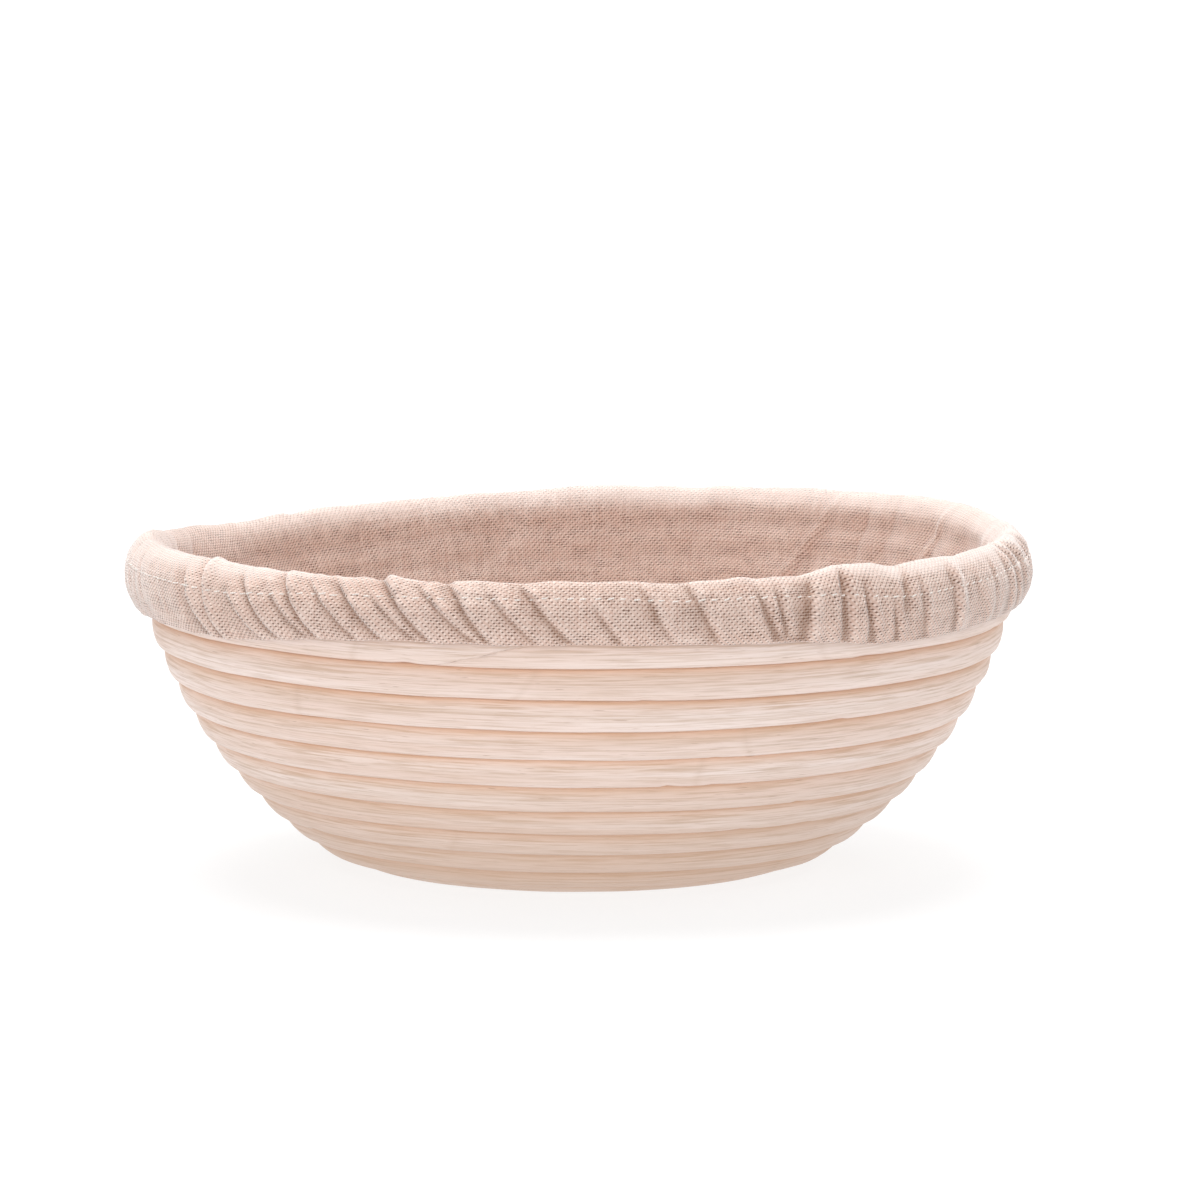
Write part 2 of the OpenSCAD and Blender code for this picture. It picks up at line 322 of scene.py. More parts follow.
def cloth_material():
    """A plain weave of soft yarns, with painted highlights on the crossings on top, painted shade
    on those below and in the folds, and a painted highlight on the crest. Every other gap between
    them is a wide hole, painted dark as shade.
    """
    m = Nodes("liner_weave")
    uv = m.uv("cloth")
    wobble_u = m.noise(m.scaled(uv, (420, 420, 1)))
    wobble_v = m.noise(m.scaled(uv, (420, 420, 1), (5, 9, 0)))
    u = m.add(m.math("DIVIDE", m.split(uv)[0], YARN_PITCH), wobble_u)
    v = m.add(m.math("DIVIDE", m.split(uv)[1], YARN_PITCH), wobble_v)
    turn_u, turn_v = m.times(u, math.pi), m.times(v, math.pi)
    warp, weft = m.sine(turn_u), m.sine(turn_v)
    over = m.times(warp, weft)
    # the gaps are wider along the weft than along the warp
    closed = m.add(m.times(m.math("ABSOLUTE", warp), 0.72),
                   m.times(m.math("ABSOLUTE", weft), 1.28))
    gap = m.less(2.0, closed)
    # every other hole is the darker one, as painted shade from the slanted crossings
    odd = m.times(m.math("COSINE", turn_u), m.math("COSINE", turn_v))
    uneven = m.noise(m.scaled(uv, (300, 300, 1), (2, 4, 0)), 1.0, 3.0)
    size = m.between(uneven, 0.32, 0.68, -0.30, 0.42)
    # the fold attribute: painted shade in the folds above 0, painted highlight on the crest below
    # 0
    attribute = m.tree.nodes.new("ShaderNodeAttribute")
    attribute.attribute_name = "fold"
    fold = attribute.outputs["Fac"]
    # the holes grow with the painted fold shade and shrink under the painted crest highlight
    size = m.add(size, m.times(fold, 0.32))
    least = m.less(m.between(odd, -1.0, 1.0, 1.62, 0.76), size)
    hole = m.between(gap, least, m.add(least, 0.48))
    slub_u = m.noise(m.join(m.times(u, 0.9), m.times(v, 0.05)))
    slub_v = m.noise(m.join(m.times(u, 0.05), m.times(v, 0.9)))
    slub = m.times(m.add(slub_u, slub_v), 0.5)
    broad = m.noise(m.place(), 45.0, 3.0)
    yarn = m.mix(m.between(slub, 0.38, 0.62), (0.640, 0.440, 0.365), (0.800, 0.630, 0.555))
    yarn = m.mix(m.between(broad, 0.35, 0.65, 0.0, 0.30), yarn, (0.640, 0.430, 0.345))
    # painted highlight on the crossings that lie on top, painted shade on the ones below
    yarn = m.mix(m.between(over, 0.1, 0.9, 0.0, 0.50), yarn, (0.930, 0.800, 0.745))
    yarn = m.mix(m.between(over, -0.9, -0.1, 0.25, 0.0), yarn, (0.440, 0.285, 0.230))
    fuzz = m.noise(m.scaled(uv, (5200, 5200, 1)))
    yarn = m.mix(m.between(fuzz, 0.55, 0.75, 0.0, 0.15), yarn, (0.950, 0.910, 0.880))
    # the holes are painted dark, as the shade seen through them
    colour = m.mix(m.times(hole, 0.96), yarn, (0.160, 0.085, 0.055))
    # painted shade in the folds
    colour = m.mix(m.between(fold, 0.0, 1.0, 0.0, 0.58), colour, (0.280, 0.150, 0.095))
    # painted highlight: the crest, the folds' ridges and the rim's two ends are paler
    colour = m.mix(m.between(fold, -1.0, 0.0, 0.72, 0.0), colour, (0.960, 0.880, 0.845))
    height = m.add(m.times(over, 0.35), m.times(m.math("ABSOLUTE", over), 0.45))
    height = m.add(height, m.times(fuzz, 0.18))
    height = m.less(height, m.times(hole, 0.5))
    m.set(Base_Color=colour, Roughness=m.between(slub, 0.3, 0.7, 0.82, 0.95),
          Normal=m.bump(height, 0.00026, 0.7), Sheen_Weight=0.90, Sheen_Roughness=0.30,
          Specular_IOR_Level=0.2)
    return m.material


def thread_material():
    """Two-ply cotton thread: its twist is a slanted ripple."""
    m = Nodes("cotton_thread")
    uv = m.uv("thread")
    x, y, _ = m.split(uv)
    twist = m.sine(m.add(m.times(x, 9000.0), m.times(y, 6.28)))
    grain = m.noise(m.place(), 2500.0)
    colour = m.mix(m.between(twist, -1.0, 1.0), (0.780, 0.690, 0.630), (0.930, 0.880, 0.850))
    colour = m.mix(m.between(grain, 0.4, 0.7, 0.0, 0.2), colour, (0.800, 0.720, 0.640))
    m.set(Base_Color=colour, Roughness=0.75,
          Normal=m.bump(m.add(twist, grain), 0.00008, 0.6), Sheen_Weight=0.2)
    return m.material


def elastic_material():
    """Woven elastic: fine ribs across the band over white rubber cores."""
    m = Nodes("woven_elastic")
    uv = m.uv("band")
    x, y, _ = m.split(uv)
    rib = m.sine(m.times(x, 7000.0))
    core = m.sine(m.times(y, 6300.0))
    wear = m.noise(m.place(), 400.0, 3.0)
    colour = m.mix(m.between(rib, -1.0, 1.0), (0.640, 0.620, 0.580), (0.860, 0.850, 0.820))
    colour = m.mix(m.between(wear, 0.5, 0.8, 0.0, 0.3), colour, (0.700, 0.640, 0.560))
    m.set(Base_Color=colour, Roughness=m.between(wear, 0.3, 0.7, 0.55, 0.75),
          Normal=m.bump(m.add(rib, core), 0.0002, 0.6))
    return m.material


def steel_material():
    """Bright drawn wire, with fine scratches and a little tarnish."""
    m = Nodes("brad_wire")
    where = m.place()
    scratch = m.noise(m.scaled(where, (4000, 4000, 500)), 1.0, 3.0)
    tarnish = m.noise(where, 350.0, 3.0)
    share = m.between(tarnish, 0.45, 0.75, 0.0, 0.6)
    colour = m.mix(share, (0.640, 0.630, 0.610), (0.330, 0.270, 0.210))
    m.set(Base_Color=colour, Roughness=m.between(tarnish, 0.3, 0.8, 0.28, 0.55),
          Normal=m.bump(scratch, 0.00005, 0.4), Metallic=1.0)
    return m.material


def floor_material():
    """Plain pale paper."""
    m = Nodes("paper_floor")
    grain = m.noise(m.place(), 60.0, 3.0)
    colour = m.mix(m.between(grain, 0.3, 0.7), (0.192, 0.194, 0.197), (0.202, 0.204, 0.207))
    # it glows a little, as a light table does, so only a faint shadow falls on it
    m.set(Base_Color=colour, Roughness=m.between(grain, 0.3, 0.7, 0.75, 0.85),
          Normal=m.bump(grain, 0.0002, 0.1), Emission_Color=(1, 1, 1), Emission_Strength=0.80,
          Specular_IOR_Level=0.2)
    return m.material


# ---------------------------------------------------------------- the coil of cane
def station(h):
    """Distance along the profile of the cane's middle at the start of half turn h."""
    h = np.asarray(h, float)
    return EYE_R + PITCH * (np.floor(h / 2) + FRONT_RISE * np.mod(h, 2))


def coil_s(t):
    """Distance along the profile of the cane's middle, t half turns from the start."""
    t = np.asarray(t, float)
    h = np.floor(t)
    a, b = station(h), station(h + 1)
    return a + (b - a) * (1 - np.cos(np.pi * (t - h))) / 2


PATH_STEP = 0.004
PATH_T = np.arange(-1.0, 36.5, PATH_STEP)
PATH_R = profile(np.maximum(coil_s(PATH_T), 3.0))[0]
PATH_L = np.concatenate([[0], np.cumsum((PATH_R[1:] + PATH_R[:-1]) / 2 * np.pi * PATH_STEP)])


def length_at(t):
    """Length of cane in mm from its start to t half turns."""
    return np.interp(t, PATH_T, PATH_L)


def turn_at(length):
    """The half turns at a length of cane."""
    return np.interp(length, PATH_L, PATH_T)


def groove(t):
    """The line between the turn at t and the next turn out, a little wavy as hand-laid cane is."""
    t = np.asarray(t, float)
    first = coil_s(np.maximum(t + 2, 0)) - PITCH / 2
    l = length_at(t)
    wave = (0.26 * noise(l / 75, seed=11) + 0.13 * noise(l / 21, seed=12)
            + 0.05 * noise(l / 7, seed=13))
    return first + wave * smooth(1.0, 3.0, t) * (1 - smooth(LAST - 1.2, LAST - 0.2, t))


def chips():
    """Small chips in the lower edges of the cane: place, length, depth and steep side."""
    rng = np.random.default_rng(7)
    spots = rng.uniform(PATH_L[0] + 900, PATH_L[-1] - 300, 60)
    return [(x, rng.uniform(2.0, 7.0), rng.uniform(0.15, 0.50), rng.choice([-1, 1]))
            for x in spots]


CHIPS = chips()
# Cross-section, first number up the wall and second inwards, from the top edge round the
# outer face and back up the inner face.
SECTION = np.array([
    (4.54, -1.10), (4.12, -1.80), (3.30, -2.38), (2.30, -2.84), (1.10, -3.20), (-0.20, -3.46),
    (-1.50, -3.58), (-2.60, -3.58), (-3.45, -3.36), (-4.05, -2.92), (-4.42, -2.28), (-4.53, -1.50),
    (-4.53, -0.40), (-4.48, 0.90), (-4.25, 2.10), (-3.75, 2.95), (-2.90, 3.45), (-1.50, 3.58),
    (0.20, 3.58), (1.90, 3.50), (3.10, 3.15), (3.95, 2.45), (4.40, 1.50), (4.53, 0.40)])
OUTER = 13  # how many of its points make the outer face
SECTION_V = np.concatenate([[0], np.cumsum(np.linalg.norm(
    np.roll(SECTION, -1, 0) - SECTION, axis=1))])


def trimmed(w, n, width, cut, below):
    """The section cut off at w = cut, with its outer corner on the uncut outer face."""
    gone = w < cut[:, None] if below else w > cut[:, None]
    face = SECTION[:OUTER][::-1]
    edge = np.interp(cut / width, face[:, 0], face[:, 1])
    order = np.cumsum(gone[:, :OUTER] if below else gone[:, :OUTER][:, ::-1], axis=1)
    order = order if below else order[:, ::-1]
    stepped = np.maximum(n[:, :OUTER], edge[:, None] + 0.012 * order)
    flush = np.where(order == 1, edge[:, None], stepped)
    n[:, :OUTER] = np.where(gone[:, :OUTER], flush, n[:, :OUTER])
    return np.where(gone, cut[:, None], w), n


def cane_rings(t, cut_low=None, cut_high=None):
    """Points of the cane's rings at t. cut_low and cut_high bound it across its width."""
    l = length_at(t)
    high, low = groove(t) - GAP / 2, groove(t - 2) + GAP / 2
    # the eye: the inner end is squeezed in beside the axis
    low = np.where(t < 1, np.maximum(coil_s(np.maximum(t, 0)) - HALF_W, EYE_EDGE), low)
    low = np.where(t < 0, EYE_EDGE, low)
    # the last turn ends in a taper on the turn that climbs under it
    tail = t > LAST + 1
    trim = (2 * HALF_W - 1.0) * np.clip((t - LAST - TAPER_FROM) / TAPER_LONG, 0, 1) ** 1.3
    climb = (1 - np.cos(np.pi * (t - LAST))) / 2
    end_s = station(LAST) + (station(LAST + 1) - station(LAST)) * climb
    high = np.where(t > LAST, end_s + HALF_W - trim, high)
    under = coil_s(np.minimum(t - 2, LAST)) + PITCH / 2
    low = np.where(tail, under + GAP / 2, low)
    centre = (low + high) / 2
    width = (high - low) / (2 * SECTION[0, 0])
    w = SECTION[None, :, 0] * width[:, None]
    n = np.repeat(SECTION[None, :, 1], len(t), 0).copy()
    if cut_low is not None:
        w, n = trimmed(w, n, width, cut_low, True)
    if cut_high is not None:
        w, n = trimmed(w, n, width, cut_high, False)
    # the outer face is not quite even
    outer = n < -0.9
    lump = 0.13 * noise(l / 46, seed=21) + 0.07 * noise(l / 13, seed=22)
    n = np.where(outer, n + np.clip(lump, 0.0, 0.3)[:, None], n)
    for place, long, deep, side in CHIPS:
        d = (l - place) / long
        shape = np.where(d * side > 0, np.exp(-(d / 0.22) ** 2), np.exp(-(d / 1.0) ** 2)) * deep
        lip = (SECTION[:, 0] < -2.5) & (SECTION[:, 1] < -1.0)
        w = w + np.where(lip[None, :], shape[:, None] * 0.9, 0)
        n = n + np.where(lip[None, :], shape[:, None] * 0.35, 0)
    thin = np.clip(width, 0.25, 1.0)
    n = n * (0.55 + 0.45 * thin)[:, None]
    if cut_low is not None:
        w = np.maximum(w, cut_low[:, None])
    if cut_high is not None:
        w = np.minimum(w, cut_high[:, None])
    a = np.radians(slope(centre))
    r0, z0 = profile(centre)
    r = r0[:, None] + w * np.cos(a)[:, None] - n * np.sin(a)[:, None]
    z = z0[:, None] + w * np.sin(a)[:, None] + n * np.cos(a)[:, None]
    return swept(r, -np.pi * t[:, None], z)


# Along a cane: the mm between its rings, from a scarf's tip to the first ring, the tip's
# thickness and half the slit in the joint. FAR is past any edge of the cane.
RING_STEP, TIP_GAP, TIP_W, JOINT, FAR = 2.1, 0.4, 0.12, 0.012, 99


def cane_piece(name, start, end, material, start_cut, end_cut):
    """One length of cane from t = start to t = end, with slanted scarf faces at its ends."""
    l0 = length_at(start) - (SCARF / 2 if start_cut else 0)
    l1 = length_at(end) + (SCARF / 2 if end_cut else 0)
    lengths = np.linspace(l0 + (TIP_GAP if start_cut else 0), l1 - (TIP_GAP if end_cut else 0),
                          int((l1 - l0) / RING_STEP))
    t = turn_at(lengths)
    low = high = None
    if start_cut:
        low = HALF_W - (lengths - l0) / SCARF * 2 * HALF_W + JOINT
        low = np.where(lengths > l0 + SCARF, -FAR, np.minimum(low, HALF_W - TIP_W))
    if end_cut:
        high = HALF_W - (lengths - (l1 - SCARF)) / SCARF * 2 * HALF_W - JOINT
        high = np.where(lengths < l1 - SCARF, FAR, np.maximum(high, -HALF_W + TIP_W))
    rings = cane_rings(t, low, high)
    rows, cols = rings.shape[:2]
    faces, corners = grid_faces(rows, cols, True)
    uv = np.stack(np.meshgrid((lengths + 37 * start) * MM, SECTION_V * MM, indexing="ij"), 2)
    uv = uv.reshape(-1, 2)[corners]
    points = rings.reshape(-1, 3)
    caps, cap_uv = [], []
    # a fan of triangles closes each end
    for row, flip in ((0, False), (rows - 1, True)):
        middle = points[row * cols:(row + 1) * cols].mean(0)
        points = np.vstack([points, middle])
        ring = row * cols + np.arange(cols)
        fan = np.stack([np.roll(ring, -1), ring, np.full(cols, len(points) - 1)], 1)
        caps.append(fan[:, ::-1] if flip else fan)
        cap_uv.append(np.broadcast_to([lengths[row] * MM, 0.006], (cols, 3, 2)))
    return add_mesh(name, points, [faces[:, ::-1], *[c[:, ::-1] for c in caps]], "cane",
                    [uv[:, ::-1], *cap_uv], material, "basket")


# where the scarf joints are, in half turns
SPLICES = [11.5, 17 + 96 / 180, 23 + 84 / 180, 27 + 92 / 180, 32 + 101 / 180]
LENGTHS = ["cane_base", "cane_heel", "cane_lower", "cane_middle", "cane_upper", "cane_rim"]


def build_canes():
    """The six lengths of cane, each in the place of its CAD node."""
    material = rattan_material()
    starts, ends = [-1.0, *SPLICES], [*SPLICES, COIL_END]
    for i, (node, start, end) in enumerate(zip(LENGTHS, starts, ends)):
        piece = cane_piece(node + "_splint", start, end, material, i > 0, i < 5)
        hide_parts(node)


# ---------------------------------------------------------------- the liner's line
RIM_MID = np.array(profile(RIM_EDGE - PITCH / 2))
REACH, RISE = HALF_T + 0.9 + 0.5, CREST_RISE - 0.5
CREST_Z = RIM_MID[1] + RISE
# the roll's widest radius and its height, and the height where the roll takes over
WIDE_R, WIDE_Z, ROLL_Z = 125.5, 81.2, 83.4
# where on the profile the wall's cloth starts and the base panel ends
WALL_FROM, PANEL_TO = 64.0, 68.5


def roll(z):
    """Radius of the cloth's roll outside the rim, below its widest height."""
    return WIDE_R - 0.025 * (z - WIDE_Z) ** 2


def rim_line():
    """The cloth's middle line from the seam at the heel, up inside, over the rim and down."""
    s = np.linspace(WALL_FROM, RIM_EDGE - PITCH / 2 - 1.0, 400)
    inside = np.stack(profile(s, LINING), 1)
    phi = np.radians(np.linspace(158, 90, 80))
    rise = RIM_MID + np.stack([REACH * np.cos(phi), RISE * np.sin(phi)], 1)
    phi = np.radians(np.linspace(89, 1, 110))
    over = np.stack([RIM_MID[0] + (roll(ROLL_Z) - RIM_MID[0]) * np.cos(phi) ** 1.5,
                     ROLL_Z + (CREST_Z - ROLL_Z) * np.sin(phi)], 1)
    z = np.linspace(ROLL_Z - 0.2, 64, 120)
    line = np.vstack([inside, rise, over, np.stack([roll(z), z], 1)])
    for _ in range(30):
        line[1:-1] = 0.25 * line[:-2] + 0.5 * line[1:-1] + 0.25 * line[2:]
    return line


LINE = rim_line()
LINE_A = np.concatenate([[0], np.cumsum(np.linalg.norm(np.diff(LINE, axis=0), axis=1))])
CREST_A = LINE_A[np.argmax(LINE[:, 1])]


def line_at(a):
    """Radius, height and outward normal of the cloth's line at arc length a."""
    r, z = np.interp(a, LINE_A, LINE[:, 0]), np.interp(a, LINE_A, LINE[:, 1])
    dr = np.interp(a + 0.4, LINE_A, LINE[:, 0]) - np.interp(a - 0.4, LINE_A, LINE[:, 0])
    dz = np.interp(a + 0.4, LINE_A, LINE[:, 1]) - np.interp(a - 0.4, LINE_A, LINE[:, 1])
    length = np.maximum(np.hypot(dr, dz), 1e-6)
    return r, z, -dz / length, dr / length


def arc_of_height(z):
    """Arc length where the outer side of the line is at height z."""
    outer = LINE_A >= CREST_A
    return np.interp(-z, -LINE[outer, 1], LINE_A[outer])


def near(theta, bearing, width, power=2):
    """1 at a bearing and down to 0 away from it, both in degrees."""
    off = np.degrees(np.angle(np.exp(1j * (theta - math.radians(bearing)))))
    return np.exp(-np.abs(off / width) ** power)


def hem_height(theta):
    """Height of the hem's lower edge: high in front, low at the two sides."""
    return (73.3 + 4.5 * near(theta, 268, 40, 6) + 1.3 * near(theta, 355, 32, 4)
            + 0.35 * around(theta, 0.0, 38, seed=31))


def stitch_height(theta):
    """Height of the line of stitches that closes the casing."""
    return hem_height(theta) + 12.2 + 0.5 * around(theta, 5.0, 30, seed=32)


def coil_drop(theta):
    """How far the rim lies below its level front: the coil ends on the left, so the back
    of the rim is the turn below, climbing from the left round to the right."""
    bearing = np.degrees(np.mod(theta, 2 * np.pi))
    climb = (1 + np.cos(np.pi * (180 - bearing) / 180)) / 2
    return (1 - FRONT_RISE) * PITCH * climb * (1 - smooth(142, 192, bearing))


def crest_drop(theta):
    """How far the crest sags, in soft dips."""
    return np.clip(0.70 + 0.6 * near(theta, 198, 32) + 0.5 * near(theta, 6, 12)
                   - 0.7 * near(theta, 34, 14) - 2.4 * near(theta, 307.5, 5.5)
                   + 0.5 * near(theta, 314.5, 2.5)
                   + 0.45 * around(theta, 9.0, 24, seed=33)
                   + 0.30 * around(theta, 2.0, 11, seed=34)
                   + 0.80 * np.abs(around(theta, 4.0, 7.0, seed=35)) * near(theta, 262, 52, 4)
                   - 0.20, -1.3, 2.4)


def lowered(theta, r, z):
    """The cloth's point once the crest has sagged and the coil's lower back is followed."""
    drop = coil_drop(theta)
    return r - 0.17 * drop, z - drop - crest_drop(theta) * smooth(RIM_MID[1] - 1.0, CREST_Z, z)


def cane_reach(z):
    """Radius of the lips of the top turns at height z."""
    return np.minimum(121.9 + 0.143 * (z - 72.9), 123.2)


# ---------------------------------------------------------------- the liner's folds
STITCHES = 224  # in the hem
# Folds by bearing, in degrees: where each crosses the stitch line, the y where it starts
# and ends (mm above the stitch line), how far it leans per mm, its height and half width.
# The cloth of a lapped fold is low on one side and high on the other.
LAPPED = [
    (212.6, -13, 1, 0.60, 1.5, 1.4), (216.8, -13, 8, 0.40, 2.0, 1.2),
    (221.4, -12, -2, 0.85, 0.9, 0.9), (225.2, -12, 2, 0.70, 1.3, 1.3),
    (229.0, -11, -3, 0.85, 0.9, 1.0), (232.0, -12, 4, 0.60, 1.7, 1.2),
    (236.2, -12, 0, 0.90, 1.1, 1.0), (240.4, -12, 1, 0.80, 1.3, 1.2),
    (244.0, -11, -2, 0.95, 0.8, 0.9), (247.0, -12, 5, 0.75, 1.5, 1.3),
    (251.6, -12, 0, 0.95, 1.1, 1.1), (255.4, -12, 3, 0.60, 1.3, 1.2),
    (259.8, -11, -1, 0.85, 0.9, 1.2), (264.6, -12, 1, 0.75, 1.1, 1.2),
    (271.6, -12, -3, 0.60, 0.7, 1.2), (279.0, -11, 1, 0.45, 0.7, 1.3),
    (285.0, -12, 3, 0.40, 0.8, 1.3), (300.2, -12, 2, -0.25, 1.5, 1.7),
    (318.0, -12, 2, 0.10, 0.8, 1.3), (324.5, -12, 4, 0.05, 0.9, 1.4),
]
CREASED = [
    (292.8, -12, -2, 0.30, 1.6, 1.2), (295.2, -10, 0, 0.10, 1.2, 1.1),
    (304.6, -12, 3, -0.05, 2.2, 1.3), (308.0, -12, -1, 0.10, 1.8, 1.2),
    (312.2, -12, -4, 0.10, 1.1, 1.0), (314.5, -4, 5, -0.25, 0.9, 2.0),
]


def scattered_folds():
    """Folds round the sides and the back, as the elastic's gathers throw them."""
    rng = np.random.default_rng(23)
    bearing, lapped, creased = 330.0, [], []
    while bearing < 360 + 178:
        lean = rng.uniform(-0.1, 0.7) if bearing % 360 > 90 else rng.uniform(-0.5, 0.3)
        fold = (bearing % 360, -rng.uniform(10, 13), rng.uniform(-2, 8), lean,
                rng.uniform(0.25, 0.85), rng.uniform(1.3, 2.3))
        (creased if rng.uniform() < 0.25 else lapped).append(fold)
        bearing += rng.uniform(3.0, 9.0)
    return lapped, creased


MORE_LAPPED, MORE_CREASED = scattered_folds()


def lap(u):
    """Height across a lapped fold: a dip beside a ridge."""
    return 2 * u / (1 + u * u) * np.exp(-(u / 3.2) ** 2)


def crease(u):
    """Height across a crease: a valley between two ridges."""
    return (0.50 * np.exp(-((u - 1.8) / 1.1) ** 2) - np.exp(-(np.abs(u) / 0.8) ** 1.5)
            + 0.28 * np.exp(-((u + 2.1) / 1.4) ** 2))


def lap_shade(u):
    """How shaded a lapped fold is across, for painted shade, with a faint painted highlight on its
    ridge.
    """
    return np.exp(-((u + 0.70) / 0.60) ** 2) - 0.20 * np.exp(-((u - 0.8) / 0.7) ** 2)


def crease_shade(u):
    """How shaded a crease is across, for painted shade."""
    return np.exp(-(u / 0.75) ** 2)


def folds(theta, y, shapes=(lap, crease)):
    """The folds' height, or their painted shade, on the outside, y mm above the stitch line."""
    round_rim = 2 * np.pi * RIM_R
    x = np.mod(theta, 2 * np.pi) * RIM_R
    total = np.zeros(np.broadcast(theta, y).shape)
    for shape, rows in zip(shapes, (LAPPED + MORE_LAPPED, CREASED + MORE_CREASED)):
        for bearing, y0, y1, lean, deep, half in rows:
            at = math.radians(bearing) * RIM_R - lean * y + 0.012 * y * y
            d = np.mod(x - at + round_rim / 2, round_rim) - round_rim / 2
            ends = smooth(y0 - 3.5, y0 + 1.0, y) * (1 - smooth(y1 - 2.0, y1 + 6.0, y))
            total += deep * ends * shape(d / (half * (1 + 0.03 * np.abs(y))))
    return total


def billow(theta, y, size, stretch, seed):
    """Soft puffs with creases between them."""
    return np.abs(around(theta, y, size, stretch, seed)) ** 0.8


def puff(theta, y):
    """Displacement of the cloth outwards on the rim and the outside, from its plain line."""
    slant = theta + (0.15 + 0.65 * near(theta, 238, 45)) * y / RIM_R
    soft = billow(slant, y, 14, 2.0, 41) - 0.35
    gather = billow(slant, y, 6.5, 3.0, 43) - 0.35
    fine = billow(slant, y, 3.4, 2.4, 42) - 0.35
    above, below = smooth(1, 8, y), smooth(-1, 4, -y)
    d = folds(theta, y) + (0.30 + 0.45 * above) * soft
    d = d + (0.55 + 0.45 * below - 0.35 * above) * gather
    d = d + (0.30 - 0.2 * above) * fine
    hold = 1 - 0.25 * np.exp(-(y / 1.0) ** 2)
    ripple = 0.08 * np.sin(theta * STITCHES) * np.exp(-(y / 1.6) ** 2)
    return d * hold + ripple - 0.12 * np.exp(-(y / 0.9) ** 2)


def shade(theta, y):
    """Painted shade by how deep in a fold the cloth lies, up to 1, or painted highlight on the
    crest and at the rim's two ends, down to -1.
    """
    lines = folds(theta, y, (lap_shade, crease_shade))
    # painted highlight on the crest, less of it on the left
    painted_highlight = 0.62 * smooth(3.0, 8.0, y) * (1 - smooth(13.0, 21.0, y))
    painted_highlight = painted_highlight * (1 - 0.7 * near(theta, 172, 36))
    # painted highlight at the rim's two ends
    ends = 0.14 * np.maximum(near(theta, 185, 26), near(theta, 352, 24))
    return np.clip(0.55 * smooth(-0.15, 1.15, -puff(theta, y)) + 0.60 * lines - painted_highlight - ends, -1, 1)


def inside(theta, a):
    """Displacement towards the axis on the inside wall: the coils, pleats and slack."""
    turn = (WALL_FROM + a - EYE_R) / PITCH + theta / (2 * np.pi)
    coils = 0.28 * np.cos(2 * np.pi * turn) * smooth(0, 12, a)
    pleat_x = theta + 0.0016 * a * np.sin(3 * theta + 1)
    low_pleats = (billow(pleat_x, a * 0.35, 5.0, 3.0, 51) - 0.3) * 1.9 * (1 - smooth(2, 46, a))
    high_pleats = (billow(theta + 0.25 * a / 100, a, 15, 5.0, 52) - 0.35) * 2.2
    high_pleats = high_pleats * smooth(0.45, 1.0, a / (CREST_A - 9))
    slack = 0.7 * around(theta, a, 34, 1.6, 53) + 0.25 * around(theta, a, 12, 1.5, 54)
    crease_u = around(theta + 0.5 * a / 100, a, 40, 1.2, 55) / 0.09
    creases = 1.1 * np.exp(-crease_u ** 2) * smooth(8, 40, a)
    return coils + low_pleats + high_pleats + slack + creases + 0.4


def softly_above(d, floor, ease=0.35):
    """d, but never below floor, with a rounded corner between the two."""
    gap = d - floor
    return floor + (gap + np.sqrt(gap * gap + ease * ease)) / 2


def wall_point(theta, a, y):
    """A point of the wall sheet's middle, before its hem. a is the arc length along the
    line, and y the mm above the stitch line, measured over the rim."""
    r, z, nr, nz = line_at(a)
    outside = smooth(CREST_A - 16, CREST_A + 2, a)
    d = inside(theta, a) * (1 - outside) + puff(theta, y) * outside
    floor = np.interp(a, [0, CREST_A - 14, CREST_A - 6, CREST_A + 1, CREST_A + 8, CREST_A + 12],
                      [-0.25, -0.25, -1.4, -1.6, -0.9, -0.6])
    d = softly_above(d, floor)
    r, z = r + d * nr, z + d * nz
    rim = smooth(CREST_A - 62, CREST_A - 12, a)
    low_r, low_z = lowered(theta, r, z)
    return r + rim * (low_r - r), z + rim * (low_z - z)


def casing_line(theta, q):
    """The casing's outer skin before it is turned in to the cane: its radius and height."""
    top, low = stitch_height(theta), hem_height(theta)
    z = top - q * (top - low)
    total = softly_above(puff(theta, z - top) * (1 - 0.3 * q ** 3), -0.55 * (1 - q ** 4))
    tuck = roll(low) - (cane_reach(low) + 1.2)
    return line_at(arc_of_height(z))[0] + total - tuck * q ** 4, z


def casing_point(theta, q):
    """A point of the casing's outer skin, from q = 0 at the stitch line to 1 at its edge."""
    r, z = casing_line(theta, q)
    ripple = 0.25 * around(theta, z, 6, 1.0, 61) * smooth(0.5, 1, q)
    return lowered(theta, r, z + ripple)


def casing_inner(theta, q):
    """A point of the casing's turned-up inner skin, from its edge at q = 0 up to q = 1."""
    top, low = stitch_height(theta), hem_height(theta)
    z = low + q * (top + 0.3 - low)
    r = cane_reach(z) + 0.45
    outer = casing_line(theta, np.clip((top - z) / (top - low), 0, 1))[0] - 0.95
    edge = casing_line(theta, np.ones_like(q))[0] - 1.0
    r = r + (outer - r) * smooth(0.64, 0.93, q)
    return lowered(theta, r + (edge - r) * (1 - smooth(0, 0.12, q)), z)


def seam_lift(a):
    """How far the wall's lower edge lies over the base panel's edge, in the lapped seam."""
    return 0.95 * (1 - smooth(5.0, 9.5, a))


